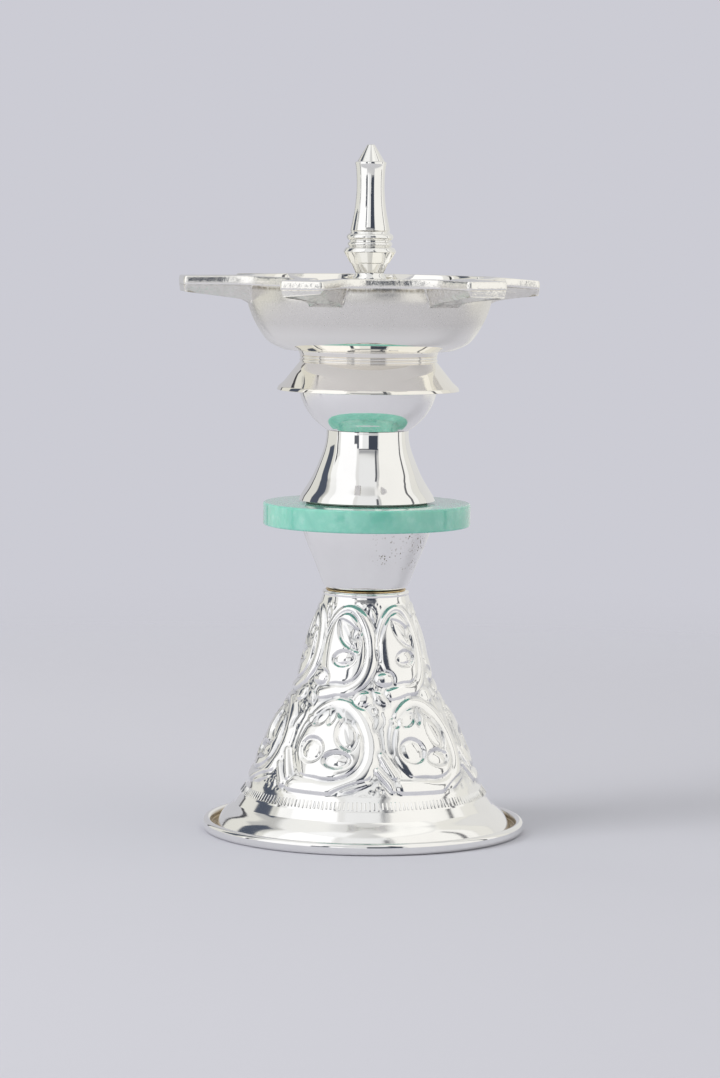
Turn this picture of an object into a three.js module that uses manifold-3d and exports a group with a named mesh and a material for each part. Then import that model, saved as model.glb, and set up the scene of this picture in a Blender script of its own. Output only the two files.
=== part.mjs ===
// Standing oil lamp: an embossed cone foot, a stacked stem with one stone disc, and a six-spouted bowl.
// Units are millimetres and +Z is up. The origin is the middle of the base plate's underside.
// The front is -Y. A bearing is an angle about +Z, from the front towards +X.
import * as THREE from 'three';
import { mergeVertices } from 'three/addons/utils/BufferGeometryUtils.js';
import Module from 'manifold-3d';

const wasm = await Module();
wasm.setup();

// Clearances
const seatGap = 0.12;
const rodGap = 0.35;
const nestGap = 0.35;
const threadGap = 0.05;

// Sheet metal of the spun shells
const sheet = 0.9;

// Base plate with its rolled rim
const baseRadius = 40.5;
const plateThickness = 1.2;
const rimHeight = 3.0;
const rimBead = 1.05;
const grooveWidth = 1.2;

// Embossed cone foot
const coneHeight = 59.45;
const coneFootRadius = baseRadius - 2 * rimBead - grooveWidth;
const coneTopRadius = 10.4;
const bandBottom = 7.5;
const bandHeight = 3.4;
const skirtSpread = 6.1;
const bandRadius = coneFootRadius - skirtSpread;
const bandRelief = 0.4;

// Brass joint ring
const ringThickness = 0.35;
const ringInset = 0.35;

// Inverted stem cone
const stemHeight = 15.1;
const stemFootRadius = 9.6;
const stemTopRadius = 16.0;

// Stone disc and its cushions
const stoneRadius = 26.0;
const stoneThickness = 5.7;
const stoneEdge = 0.45;
const cushionThickness = 0.4;
const cushionInset = 1.8;

// Bell
const bellHeight = 17.5;
const bellFootRadius = 17.1;
const bellTopRadius = 10.3;
const bellBand = 2.4;

// Bead, the lower half of an ellipsoid
const beadRadius = 17.3;
const beadHalfHeight = 14.5;
const beadCut = 11.6;
const beadHeight = 11.0;

// Drip collar
const collarWeb = 1.2;
const collarBore = 15.6;
const collarWall = 1.0;
const collarRise = 8.8;
const hemRadius = 22.85;
const hemDrop = 1.3;
const skirtTopRadius = 17.1;
const skirtTopHeight = 5.9;
const collarBeadRadius = 0.38;
const beadSpacing = 0.84;
const lipRadius = 17.6;

// Bowl
const bowlHeight = 18.25;
const bowlWall = 1.6;
const bowlFloor = 1.7;
const bowlFootRadius = 21.4;
const bowlRimRadius = 31.2;
const rimBand = 2.2;
const rimStep = 0.45;
const bowlSpigot = 1.6;
const bowlSpigotWall = 2.0;

// Wick spouts: bearing in degrees, reach from the axis and droop of the tip
const spouts = [
  { bearing: -81, reach: 47.3, droop: 0.1 },
  { bearing: -20.3, reach: 47.5, droop: 0.4 },
  { bearing: 37.3, reach: 47.5, droop: 0.1 },
  { bearing: 106, reach: 43.3, droop: 0.9 },
  { bearing: 162, reach: 46.5, droop: 0.4 },
  { bearing: 220, reach: 47.0, droop: 0.4 },
];
const spoutWidth = 12.2;
const spoutFillet = 10;
const spoutCorner = 1.0;
const spoutTip = 3.6;
const spoutFlat = 2.0;
const keelDepth = 6.05;
const keelRun = 6.0;
const keelRise = 0.95;
const keelBevel = 1.3;
const keelCover = 0.3;
const wickRadius = 3.2;
const wickDepth = 1.7;
const wickStop = 4.0;

// Tie rod and its fasteners
const rodRadius = 2.0;
const rodTopAboveFloor = 9.0;
const nutAcross = 7.0;
const nutHeight = 3.2;
const washerRadius = 5.0;
const washerThickness = 0.8;
const sealRadius = 5.4;
const sealThickness = 1.0;

// Finial: a foot, a column, a bulb with a creased shoulder, a waisted shaft and a tip
const finialFootRadius = 6.6;
const finialFootHeight = 2.0;
const finialStemRadius = 4.0;
const finialStemHeight = 15.0;
const finialNeckRadius = 3.1;
const finialNeckTaper = 1.2;
const finialBulbRadius = 6.35;
const finialBulbHeight = 12.4;
const finialBulbWidest = 4.8;
const finialBulbShoulder = 7.4;
const finialCreaseRadius = 4.9;
const finialCreaseHeight = 8.7;
const finialCreaseSize = 0.85;
const finialShaftRadius = 4.75;
const finialShaftHeight = 16.4;
const finialShaftLand = 1.3;
const finialWaistRadius = 3.1;
const finialWaistHeight = 9.6;
const finialLipRadius = 3.6;
const finialTipRadius = 0.9;
const finialTipHeight = 4.2;
const finialBoreDepth = 12;

// Steps round a turned piece
const coarse = 20;
const medium = 30;
const fine = 40;

// Heights of the stack, each piece resting on the one below
const coneLevel = plateThickness + seatGap;
const ringLevel = coneLevel + coneHeight + seatGap;
const stemLevel = ringLevel + ringThickness + seatGap;
const lowerCushionLevel = stemLevel + stemHeight + seatGap;
const stoneLevel = lowerCushionLevel + cushionThickness + seatGap;
const upperCushionLevel = stoneLevel + stoneThickness + seatGap;
const bellLevel = upperCushionLevel + cushionThickness + seatGap;
const beadLevel = bellLevel + bellHeight + seatGap;
const collarLevel = beadLevel + beadHeight + seatGap;
const stemWasherLevel = collarLevel + collarWeb + seatGap;
const stemNutLevel = stemWasherLevel + washerThickness + seatGap;
const bowlLevel = collarLevel + collarRise + seatGap;
const sealLevel = bowlLevel + bowlFloor + seatGap;
const finialLevel = sealLevel + sealThickness + seatGap;
const lowerWasherLevel = coneLevel + coneHeight - sheet - seatGap - washerThickness;
const lowerNutLevel = lowerWasherLevel - seatGap - nutHeight;
const rodBottom = lowerNutLevel - rodRadius;
const rodTop = bowlLevel + bowlFloor + rodTopAboveFloor;
const holeRadius = rodRadius + rodGap;

// Finishes
const silver = { color: 0xe9e6df, roughness: 0.12, metalness: 1 };
const goldLine = { color: 0xcaa45c, roughness: 0.25, metalness: 1 };
const plainBrass = { color: 0xb08d4c, roughness: 0.4, metalness: 1 };
const steel = { color: 0x9a9a98, roughness: 0.45, metalness: 1 };
const greenStone = { color: 0x5cc4a6, roughness: 0.22, metalness: 0 };
const cushionFelt = { color: 0xd8d4c8, roughness: 0.9, metalness: 0 };
const sealRubber = { color: 0x3a3530, roughness: 0.8, metalness: 0 };

// Profile helpers: a profile is a list of points with x the radius and y the height

function at(radius, height) {
  return new THREE.Vector2(radius, height);
}

function curveThrough(stations, steps) {
  const points = stations.map(([radius, height]) => at(radius, height));
  return new THREE.SplineCurve(points).getPoints(steps);
}

function arcAbout(radius, height, size, startDegrees, endDegrees, steps) {
  const points = [];
  for (let i = 0; i <= steps; i += 1) {
    const angle = THREE.MathUtils.degToRad(startDegrees + ((endDegrees - startDegrees) * i) / steps);
    points.push(at(radius + size * Math.cos(angle), height + size * Math.sin(angle)));
  }
  return points;
}

// The inner skin of a wall, for an outer skin walked upwards
function insideOf(outer, wall) {
  return outer.map((point, i) => {
    const before = outer[Math.max(i - 1, 0)];
    const after = outer[Math.min(i + 1, outer.length - 1)];
    const along = after.clone().sub(before).normalize();
    return at(point.x - wall * along.y, point.y + wall * along.x);
  });
}

function radiusAt(skin, height) {
  const found = skin.findIndex((point) => point.y > height);
  const next = found < 0 ? skin.length - 1 : Math.max(found, 1);
  const [low, high] = [skin[next - 1], skin[next]];
  return low.x + ((high.x - low.x) * (height - low.y)) / (high.y - low.y);
}

// The hidden skin between two heights, with every other point of the outer one
function innerSkin(outer, wall, foot, top) {
  const offset = insideOf(outer, wall);
  const margin = wall / 2;
  const between = offset.filter((p, i) => i % 2 === 0 && p.y > foot + margin && p.y < top - margin);
  return [at(radiusAt(offset, foot), foot), ...between, at(radiusAt(offset, top), top)];
}

function closed(points) {
  return [...points, points[0].clone()];
}

// Solids

function turned(profile, steps) {
  return new THREE.LatheGeometry(profile, steps).rotateX(Math.PI / 2);
}

// A spun shell with a land turned in at its top, and at its foot when that is closed
function spunShell(outer, footClosed, steps) {
  const foot = outer[0].y;
  const top = outer[outer.length - 1].y;
  const inner = innerSkin(outer, sheet, footClosed ? foot + sheet : foot, top - sheet);
  const land = [at(holeRadius, top), at(holeRadius, top - sheet)];
  const footLand = footClosed ? [at(holeRadius, foot + sheet), at(holeRadius, foot)] : [];
  return turned(closed([...outer, ...land, ...inner.reverse(), ...footLand]), steps);
}

function ringPlate(inner, outer, height, steps) {
  const profile = [at(inner, 0), at(outer, 0), at(outer, height), at(inner, height)];
  return turned(closed(profile), steps);
}

function toSolid(geometry) {
  const bare = geometry.clone();
  bare.deleteAttribute('normal');
  bare.deleteAttribute('uv');
  const merged = mergeVertices(bare, 1e-4);
  const index = merged.index.array;
  const triangles = [];
  for (let i = 0; i < index.length; i += 3) {
    const [a, b, c] = [index[i], index[i + 1], index[i + 2]];
    if (a !== b && b !== c && c !== a) triangles.push(a, b, c);
  }
  return new wasm.Manifold(new wasm.Mesh({
    numProp: 3,
    vertProperties: new Float32Array(merged.attributes.position.array),
    triVerts: new Uint32Array(triangles),
  }));
}

function toGeometry(solid) {
  const mesh = solid.getMesh();
  const geometry = new THREE.BufferGeometry();
  geometry.setAttribute('position', new THREE.BufferAttribute(new Float32Array(mesh.vertProperties), 3));
  geometry.setIndex(new THREE.BufferAttribute(new Uint32Array(mesh.triVerts), 1));
  geometry.computeVertexNormals();
  return geometry;
}

// Sub-parts

// A flat plate whose edge is rolled up into a bead, leaving a groove round the cone's foot
function basePlate() {
  const beadCentre = baseRadius - rimBead;
  const profile = [
    at(0, 0),
    ...arcAbout(baseRadius - plateThickness, plateThickness, plateThickness, -90, 0, 3),
    ...arcAbout(beadCentre, rimHeight - rimBead, rimBead, 0, 180, 6),
    at(beadCentre - rimBead, plateThickness),
    at(0, plateThickness),
  ];
  return turned(profile, fine);
}

// A pressed cone that flares in three stages, with the raised border band above its plain skirt
function baseCone() {
  const bandTop = bandBottom + bandHeight;
  const skirt = curveThrough([
    [coneFootRadius, 0],
    [coneFootRadius - 1.8, 3.0],
    [bandRadius + 1.6, 5.4],
    [bandRadius, bandBottom],
  ], 5);
  const bandTopRadius = bandRadius - bandHeight * 0.55;
  const band = [
    at(bandRadius + bandRelief, bandBottom + bandRelief),
    at(bandTopRadius + bandRelief, bandTop - bandRelief),
  ];
  const body = curveThrough([
    [bandTopRadius, bandTop],
    [22.2, 26.2],
    [17.0, 36.6],
    [13.3, 49.4],
    [coneTopRadius + 0.4, coneHeight - 1.4],
    [coneTopRadius, coneHeight],
  ], 10);
  return spunShell([...skirt, ...band, ...body], false, fine);
}

function jointRing() {
  return ringPlate(holeRadius, coneTopRadius - ringInset, ringThickness, medium);
}

function stemCone() {
  const outer = curveThrough([
    [stemFootRadius, 0],
    [stemFootRadius + 0.9, 1.3],
    [13.0, 7.0],
    [stemTopRadius - 0.9, stemHeight - 3.0],
    [stemTopRadius, stemHeight],
  ], 7);
  return spunShell(outer, true, medium);
}

function cushion(carrierRadius) {
  return ringPlate(holeRadius, carrierRadius - cushionInset, cushionThickness, medium);
}

function stoneDisc() {
  const profile = [
    at(holeRadius + nestGap, 0),
    at(stoneRadius - stoneEdge, 0),
    at(stoneRadius, stoneEdge),
    at(stoneRadius, stoneThickness - stoneEdge),
    at(stoneRadius - stoneEdge, stoneThickness),
    at(holeRadius + nestGap, stoneThickness),
  ];
  return turned(closed(profile), fine);
}

function bell() {
  const flare = curveThrough([
    [bellFootRadius - 1.1, bellBand],
    [14.25, 4.9],
    [13.0, 7.4],
    [bellTopRadius + 0.7, bellHeight - 5.0],
    [bellTopRadius + 0.05, bellHeight - 2.0],
    [bellTopRadius, bellHeight],
  ], 8);
  return spunShell([at(bellFootRadius, 0), ...flare], true, medium);
}

function stemBead() {
  const outer = [];
  const steps = 8;
  for (let i = 0; i <= steps; i += 1) {
    const height = (beadHeight * i) / steps;
    const share = (beadCut - height) / beadHalfHeight;
    outer.push(at(beadRadius * Math.sqrt(1 - share * share), height));
  }
  return spunShell(outer, true, medium);
}

// A turned cup for the bowl's foot, with a double bead and a skirt that throws drips clear of the stem
function dripCollar() {
  const lowerBead = skirtTopHeight + collarBeadRadius;
  const cupWall = collarBore + collarWall;
  const profile = [
    at(holeRadius, 0),
    at(cupWall, 0),
    at(cupWall, skirtTopHeight - 2 * collarWall),
    at(hemRadius - 0.6, -hemDrop),
    at(hemRadius, -hemDrop),
    at(skirtTopRadius, skirtTopHeight),
    ...arcAbout(skirtTopRadius - 0.2, lowerBead, collarBeadRadius, -70, 70, 2),
    ...arcAbout(skirtTopRadius - 0.25, lowerBead + beadSpacing, collarBeadRadius, -70, 70, 2),
    at(skirtTopRadius - 0.1, lowerBead + 2 * beadSpacing - collarBeadRadius),
    at(lipRadius, collarRise),
    at(collarBore, collarRise),
    at(collarBore, collarWeb),
    at(holeRadius, collarWeb),
  ];
  return turned(closed(profile), fine);
}

// The bowl's wall below its rim band
function bowlOuterSkin() {
  return curveThrough([
    [bowlFootRadius, 0],
    [bowlFootRadius + 4.0, 2.1],
    [bowlRimRadius - 2.5, 7.1],
    [bowlRimRadius - 0.75, 12.0],
    [bowlRimRadius - rimStep, bowlHeight - rimBand],
  ], 9);
}

function bowlBody() {
  const spigotRadius = collarBore - nestGap;
  const profile = [
    at(0, 0),
    at(spigotRadius - bowlSpigotWall, 0),
    at(spigotRadius - bowlSpigotWall, -bowlSpigot),
    at(spigotRadius, -bowlSpigot),
    at(spigotRadius, 0),
    ...bowlOuterSkin(),
    at(bowlRimRadius, bowlHeight - rimBand + rimStep / 2),
    at(bowlRimRadius, bowlHeight),
    at(0, bowlHeight),
  ];
  return toSolid(turned(profile, fine));
}

function bowlCavity() {
  const wall = insideOf(bowlOuterSkin(), bowlWall).filter((p) => p.y > bowlFloor + 0.6);
  const mouth = wall[wall.length - 1].x;
  const above = bowlHeight + 1;
  const floorRadius = wall[0].x - bowlWall;
  const profile = [at(0, bowlFloor), at(floorRadius, bowlFloor), ...wall, at(mouth, above), at(0, above)];
  return toSolid(turned(profile, fine));
}

function turnPoint(x, y, bearingDegrees) {
  const angle = THREE.MathUtils.degToRad(bearingDegrees - 90);
  return new THREE.Vector2(x, y).rotateAround(new THREE.Vector2(0, 0), angle);
}

// The plan of the rim: parallel spouts that run into it through concave fillets
function rimOutline() {
  const half = spoutWidth / 2;
  const filletAcross = half + spoutFillet;
  const filletAlong = Math.sqrt((bowlRimRadius + spoutFillet) ** 2 - filletAcross ** 2);
  const filletSweep = THREE.MathUtils.radToDeg(Math.atan2(filletAlong, filletAcross));
  const points = [];
  for (const spout of spouts) {
    const tip = spout.reach - spoutCorner;
    const right = arcAbout(filletAlong, -filletAcross, spoutFillet, 90 + filletSweep, 90, 5);
    const rightCorner = arcAbout(tip, -half + spoutCorner, spoutCorner, -90, 0, 3);
    const leftCorner = arcAbout(tip, half - spoutCorner, spoutCorner, 0, 90, 3);
    const left = arcAbout(filletAlong, filletAcross, spoutFillet, -90, -90 - filletSweep, 5);
    for (const p of [...right, ...rightCorner, ...leftCorner, ...left]) {
      points.push(turnPoint(p.x, p.y, spout.bearing));
    }
  }
  return points;
}

// A shape drawn along a spout and upwards, given its thickness across the spout
function acrossSpout(outline, thickness, bevel, spout) {
  const shape = new THREE.Shape(outline.map(([along, height]) => new THREE.Vector2(along, height)));
  const block = new THREE.ExtrudeGeometry(shape, {
    depth: thickness - 2 * bevel,
    bevelEnabled: bevel > 0,
    bevelThickness: bevel,
    bevelSize: bevel,
    bevelOffset: -bevel,
    bevelSegments: 1,
  });
  block.translate(0, 0, bevel - thickness / 2);
  block.rotateX(Math.PI / 2);
  block.rotateZ(THREE.MathUtils.degToRad(spout.bearing - 90));
  return toSolid(block);
}

// The band that runs on from the rim, with a top that droops to the tip
function spoutBand(spout) {
  const past = spout.reach + spoutCorner;
  const top = bowlHeight - spout.droop;
  const outline = [
    [0, bowlHeight - rimBand],
    [bowlRimRadius + spoutFlat, bowlHeight - rimBand],
    [past, top - rimBand],
    [past, top],
    [bowlRimRadius + spoutFlat, bowlHeight],
    [0, bowlHeight],
  ];
  return acrossSpout(outline, spoutWidth + 2 * spoutFillet, 0, spout);
}

// The keel under a spout, with chamfered sides and a bottom that thins to the tip
function spoutKeel(spout) {
  const past = spout.reach + keelBevel + spoutCorner;
  const top = bowlHeight - spout.droop;
  const outline = [
    [0, bowlHeight - keelDepth],
    [bowlRimRadius, bowlHeight - keelDepth],
    [bowlRimRadius + keelRun, bowlHeight - keelDepth + keelRise],
    [past, top - spoutTip],
    [past, top - keelCover],
    [0, bowlHeight - keelCover],
  ];
  return acrossSpout(outline, spoutWidth, keelBevel, spout);
}

// All the spouts' bands and keels, trimmed to the plan of the rim
function spoutedRim() {
  const shape = new THREE.Shape(rimOutline());
  const plan = new THREE.ExtrudeGeometry(shape, { depth: bowlHeight, bevelEnabled: false });
  const forms = spouts.map((spout) => spoutBand(spout).add(spoutKeel(spout)));
  const joined = forms.reduce((all, form) => all.add(form));
  return joined.intersect(toSolid(plan.translate(0, 0, bowlWall)));
}

// A round-bottomed trough from the oil to just short of the tip
function wickChannel(spout) {
  const start = bowlRimRadius - 2 * bowlWall;
  const length = spout.reach - wickStop - start;
  const slope = Math.atan2(wickDepth, length);
  const cutter = new THREE.CylinderGeometry(wickRadius, wickRadius, length, 14);
  cutter.rotateX(-slope);
  const middle = start + length / 2;
  cutter.translate(0, -middle, bowlHeight + wickRadius - wickDepth / 2);
  cutter.rotateZ(THREE.MathUtils.degToRad(spout.bearing));
  return toSolid(cutter);
}

function bowl() {
  let solid = bowlBody().add(spoutedRim());
  solid = solid.subtract(bowlCavity());
  for (const spout of spouts) solid = solid.subtract(wickChannel(spout));
  const drill = new THREE.CylinderGeometry(holeRadius, holeRadius, bowlHeight, coarse);
  solid = solid.subtract(toSolid(drill.rotateX(Math.PI / 2)));
  return toGeometry(solid);
}

function tieRod() {
  const length = rodTop - rodBottom;
  const chamfer = rodRadius * 0.3;
  const profile = [
    at(0, 0),
    at(rodRadius - chamfer, 0),
    at(rodRadius, chamfer),
    at(rodRadius, length - chamfer),
    at(rodRadius - chamfer, length),
    at(0, length),
  ];
  return turned(profile, coarse);
}

function hexNut() {
  const outline = new THREE.Shape();
  const corner = nutAcross / Math.sqrt(3);
  for (let i = 0; i < 6; i += 1) {
    const angle = (i * Math.PI) / 3;
    const point = [corner * Math.cos(angle), corner * Math.sin(angle)];
    if (i === 0) outline.moveTo(...point);
    else outline.lineTo(...point);
  }
  outline.closePath();
  const hole = new THREE.Path();
  hole.absarc(0, 0, rodRadius + threadGap, 0, 2 * Math.PI, true);
  outline.holes.push(hole);
  const settings = { depth: nutHeight, bevelEnabled: false, curveSegments: coarse / 2 };
  return new THREE.ExtrudeGeometry(outline, settings);
}

function washer() {
  return ringPlate(rodRadius + rodGap / 2, washerRadius, washerThickness, coarse);
}

function sealWasher() {
  return ringPlate(holeRadius, sealRadius, sealThickness, coarse);
}

// A turned spire: column in the oil, reeded bulb, waisted shaft and pointed tip, tapped from below
function finial() {
  const bulb = finialStemHeight;
  const shaft = bulb + finialBulbHeight;
  const tip = shaft + finialShaftHeight;
  const profile = [
    at(rodRadius + threadGap, 0),
    at(finialFootRadius, 0),
    at(finialFootRadius, finialFootHeight * 0.4),
    ...curveThrough([
      [finialFootRadius - 0.6, finialFootHeight * 0.6],
      [finialStemRadius + 0.5, finialFootHeight + 0.6],
      [finialStemRadius, finialFootHeight + 2.5],
    ], 4),
    at(finialStemRadius, bulb - finialNeckTaper),
    at(finialNeckRadius, bulb),
    at(finialNeckRadius + 0.15, bulb + 0.6),
    at(finialBulbRadius - 1.3, bulb + finialBulbWidest - 1.7),
    at(finialBulbRadius, bulb + finialBulbWidest),
    at(finialBulbRadius - 0.15, bulb + finialBulbWidest + 1.0),
    at(finialBulbRadius - 1.15, bulb + finialBulbShoulder),
    ...arcAbout(finialCreaseRadius, bulb + finialCreaseHeight, finialCreaseSize, -80, 80, 3),
    at(finialShaftRadius - 0.4, shaft - finialShaftLand - 0.6),
    at(finialShaftRadius, shaft - finialShaftLand),
    ...curveThrough([
      [finialShaftRadius - 0.15, shaft - finialShaftLand / 2],
      [finialWaistRadius + 0.45, shaft + 3.7],
      [finialWaistRadius, shaft + finialWaistHeight],
      [finialLipRadius, tip - 0.4],
    ], 8),
    at(finialLipRadius - 0.5, tip),
    at(finialTipRadius, tip + finialTipHeight),
    at(0, tip + finialTipHeight + 0.1),
  ];
  const bore = [at(0, finialBoreDepth), at(rodRadius + threadGap, finialBoreDepth - 1)];
  return turned([...bore, ...profile], coarse);
}

// Assembly

const lamp = new THREE.Group();

function place(parent, name, geometry, finish, level) {
  const mesh = new THREE.Mesh(geometry, new THREE.MeshStandardMaterial(finish));
  mesh.name = name;
  mesh.position.z = level;
  parent.add(mesh);
}

const stand = new THREE.Group();
place(stand, 'base_plate', basePlate(), silver, 0);
place(stand, 'base_cone', baseCone(), silver, coneLevel);
place(stand, 'joint_ring', jointRing(), goldLine, ringLevel);
place(stand, 'stem_cone', stemCone(), silver, stemLevel);
place(stand, 'lower_cushion', cushion(stemTopRadius), cushionFelt, lowerCushionLevel);
place(stand, 'stone_disc', stoneDisc(), greenStone, stoneLevel);
place(stand, 'upper_cushion', cushion(bellFootRadius), cushionFelt, upperCushionLevel);
place(stand, 'bell', bell(), silver, bellLevel);
place(stand, 'stem_bead', stemBead(), silver, beadLevel);
place(stand, 'drip_collar', dripCollar(), silver, collarLevel);
place(stand, 'tie_rod', tieRod(), plainBrass, rodBottom);
place(stand, 'lower_washer', washer(), steel, lowerWasherLevel);
place(stand, 'lower_nut', hexNut(), steel, lowerNutLevel);
place(stand, 'stem_washer', washer(), steel, stemWasherLevel);
place(stand, 'stem_nut', hexNut(), steel, stemNutLevel);

const top = new THREE.Group();
place(top, 'bowl', bowl(), silver, bowlLevel);
place(top, 'seal_washer', sealWasher(), sealRubber, sealLevel);
place(top, 'finial', finial(), silver, finialLevel);

lamp.add(stand, top);

export default lamp;
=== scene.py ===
import bpy
import math
from types import SimpleNamespace as Named
import numpy as np
from mathutils import Matrix, Vector


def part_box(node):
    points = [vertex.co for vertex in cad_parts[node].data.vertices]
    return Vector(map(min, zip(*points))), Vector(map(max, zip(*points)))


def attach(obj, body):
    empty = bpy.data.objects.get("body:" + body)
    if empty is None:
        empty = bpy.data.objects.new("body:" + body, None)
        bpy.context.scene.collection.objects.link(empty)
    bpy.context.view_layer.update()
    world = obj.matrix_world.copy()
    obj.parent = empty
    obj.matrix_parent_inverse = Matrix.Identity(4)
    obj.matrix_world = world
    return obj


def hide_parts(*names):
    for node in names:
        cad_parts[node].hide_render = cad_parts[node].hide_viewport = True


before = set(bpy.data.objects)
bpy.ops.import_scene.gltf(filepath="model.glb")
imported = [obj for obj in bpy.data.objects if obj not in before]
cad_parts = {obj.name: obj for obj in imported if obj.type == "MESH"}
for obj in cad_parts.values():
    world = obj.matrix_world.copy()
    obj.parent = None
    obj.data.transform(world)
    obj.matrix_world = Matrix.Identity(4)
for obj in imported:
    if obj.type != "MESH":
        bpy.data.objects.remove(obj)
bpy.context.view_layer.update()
mm = 0.001
print("frame loaded:", len(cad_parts), "nodes")


# node helpers

def fill(tree, node, inputs):
    for key, value in inputs.items():
        if isinstance(value, bpy.types.NodeSocket):
            tree.links.new(value, node.inputs[key])
        else:
            node.inputs[key].default_value = value


def addNode(tree, kind, inputs=(), **settings):
    node = tree.nodes.new(kind)
    for name, value in settings.items():
        setattr(node, name, value)
    fill(tree, node, dict(inputs))
    return node.outputs


def maths(tree, operation, *values):
    return addNode(tree, "ShaderNodeMath", enumerate(values), operation=operation)[0]


def times(tree, first, second):
    return maths(tree, "MULTIPLY", first, second)


def plus(tree, first, second):
    return maths(tree, "ADD", first, second)


def minus(tree, first, second):
    return maths(tree, "SUBTRACT", first, second)


def over(tree, first, second):
    return maths(tree, "DIVIDE", first, second)


def remap(tree, value, fromLow, fromHigh, toLow, toHigh, curve="LINEAR"):
    inputs = {"Value": value, "From Min": fromLow, "From Max": fromHigh, "To Min": toLow, "To Max": toHigh}
    return addNode(tree, "ShaderNodeMapRange", inputs, interpolation_type=curve)[0]


def mixColour(tree, factor, first, second):
    return addNode(tree, "ShaderNodeMix", {0: factor, 6: first, 7: second}, data_type="RGBA")[2]


def xyz(tree, **parts):
    return addNode(tree, "ShaderNodeCombineXYZ", parts)[0]


def axesOf(tree, place):
    return addNode(tree, "ShaderNodeSeparateXYZ", {0: place})


def lengthOf(tree, place):
    return addNode(tree, "ShaderNodeVectorMath", {0: place}, operation="LENGTH")["Value"]


def onPiece(tree):
    return addNode(tree, "ShaderNodeTexCoord")["Object"]


def noise(tree, scale, place=None, **more):
    more["Vector"] = onPiece(tree) if place is None else place
    return addNode(tree, "ShaderNodeTexNoise", {"Scale": scale, **more})["Fac"]


# a socket is a number, its own default, or the name of its type
def newGroup(name, kind, inputs, outputs):
    tree = bpy.data.node_groups.new(name, kind)
    for direction, sockets in (("INPUT", inputs), ("OUTPUT", outputs)):
        for key, value in sockets.items():
            socketType = value if isinstance(value, str) else "Int" if isinstance(value, int) else "Float"
            socket = tree.interface.new_socket(key, in_out=direction, socket_type="NodeSocket" + socketType)
            if socketType != value:
                socket.default_value = value
    return tree, tree.nodes.new("NodeGroupInput").outputs, tree.nodes.new("NodeGroupOutput")


def placeGroup(tree, group, **inputs):
    return addNode(tree, "ShaderNodeGroup", inputs, node_tree=group)


# camera

cameraSet = {"lens": 126.9, "sensor": 36, "clip": (0.05, 30), "distance": 0.950, "height": 0.161, "side": -0.0016,
             "pitchDown": 5.262, "roll": 0.68}


def addObject(name, data):
    thing = bpy.data.objects.new(name, data)
    bpy.context.scene.collection.objects.link(thing)
    return thing


def makeCamera(s):
    data = bpy.data.cameras.new("camera")
    data.lens, data.sensor_width = s.lens, s.sensor
    data.clip_start, data.clip_end = s.clip
    camera = addObject("camera", data)
    tilt = Matrix.Rotation(math.radians(90 - s.pitchDown), 4, "X")
    roll = Matrix.Rotation(math.radians(s.roll), 4, "Z")
    camera.matrix_world = Matrix.Translation((s.side, -s.distance, s.height)) @ tilt @ roll
    bpy.context.scene.camera = camera


makeCamera(Named(**cameraSet))
print("camera made")


# studio: soft boxes and dark gaps by direction, azimuth 0 towards the camera and + to its right

studio = {
    "backdrop": (0.603, 0.603, 0.660, 1),
    "ceiling": (0.69, 0.69, 0.685), "ceilingSlope": -0.50, "underfoot": (0.60, 0.60, 0.62, 1), "horizon": 12,
    "panels": [
        # azimuth from, to, elevation from, to, feather, colour; later ones cover earlier ones
        (130, 180, -65, 52, 4, (0.74, 0.735, 0.72)),
        (176, 212, -65, 52, 4, (0.55, 0.55, 0.58)),
        (212, 216, -65, 42, 1.2, (0.05, 0.05, 0.06)),
        (216, 265, -65, 50, 2.5, (0.74, 0.735, 0.69)),
        (225, 262, 33, 52, 5, (0.50, 0.50, 0.49)),
        (225, 285, 54, 76, 6, (0.88, 0.88, 0.86)),
        (268, 271.5, -65, 27, 1.2, (0.03, 0.03, 0.035)),
        (271.5, 280, -65, 27, 1.0, (0.79, 0.79, 0.78)),
        (280, 330, -14, 58, 3, (1.08, 1.08, 1.09)),  # left soft box
        (331, 336.5, -5, 23.5, 1.5, (0.045, 0.06, 0.085)),
        (336.5, 363, -6, 24, 1.5, (0.86, 0.87, 0.88)),  # window
        (336.5, 346, -6, 24, 4, (1.08, 1.08, 1.09)),
        (335.5, 364, 24.6, 26.8, 1.6, (0.08, 0.085, 0.10)),
        (336, 392, 27, 33, 5, (0.38, 0.385, 0.40)),
        (363, 390, -5, 26.5, 1.2, (0.055, 0.065, 0.09)),
        (391.5, 472, -14, 58, 3, (0.945, 0.935, 0.905)),  # right soft box
        (472, 490, -65, 58, 2.0, (0.80, 0.79, 0.745)),
        (388.5, 391.5, -8, 24, 1.2, (0.75, 0.75, 0.75)),
        (383, 480, 58, 78, 8, (1.0, 0.995, 0.965)),
        (285, 340, 58, 78, 8, (0.96, 0.965, 0.97)),
        (338, 386, 36, 58, 5, (0.85, 0.855, 0.86)),
        (323, 335, -5, 14, 1.5, (0.12, 0.13, 0.15)),
        (238, 257, 10, 46, 2.5, (0.08, 0.095, 0.13)),
        (381, 386, 27, 52, 1.5, (0.12, 0.125, 0.14)),
        (455, 459.5, -8, 52, 1.2, (0.14, 0.14, 0.15)),
    ],
    "floor": (0.635, 0.635, 0.69, 1), "floorReach": 3.0, "floorSides": 64, "floorDrop": 0.02 * mm,
    "fadeFrom": 0.20, "fadeTo": 0.62, "key": {"place": (-1.1, -0.55, 0.85), "size": 0.7, "power": 8.0},
}


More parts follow.
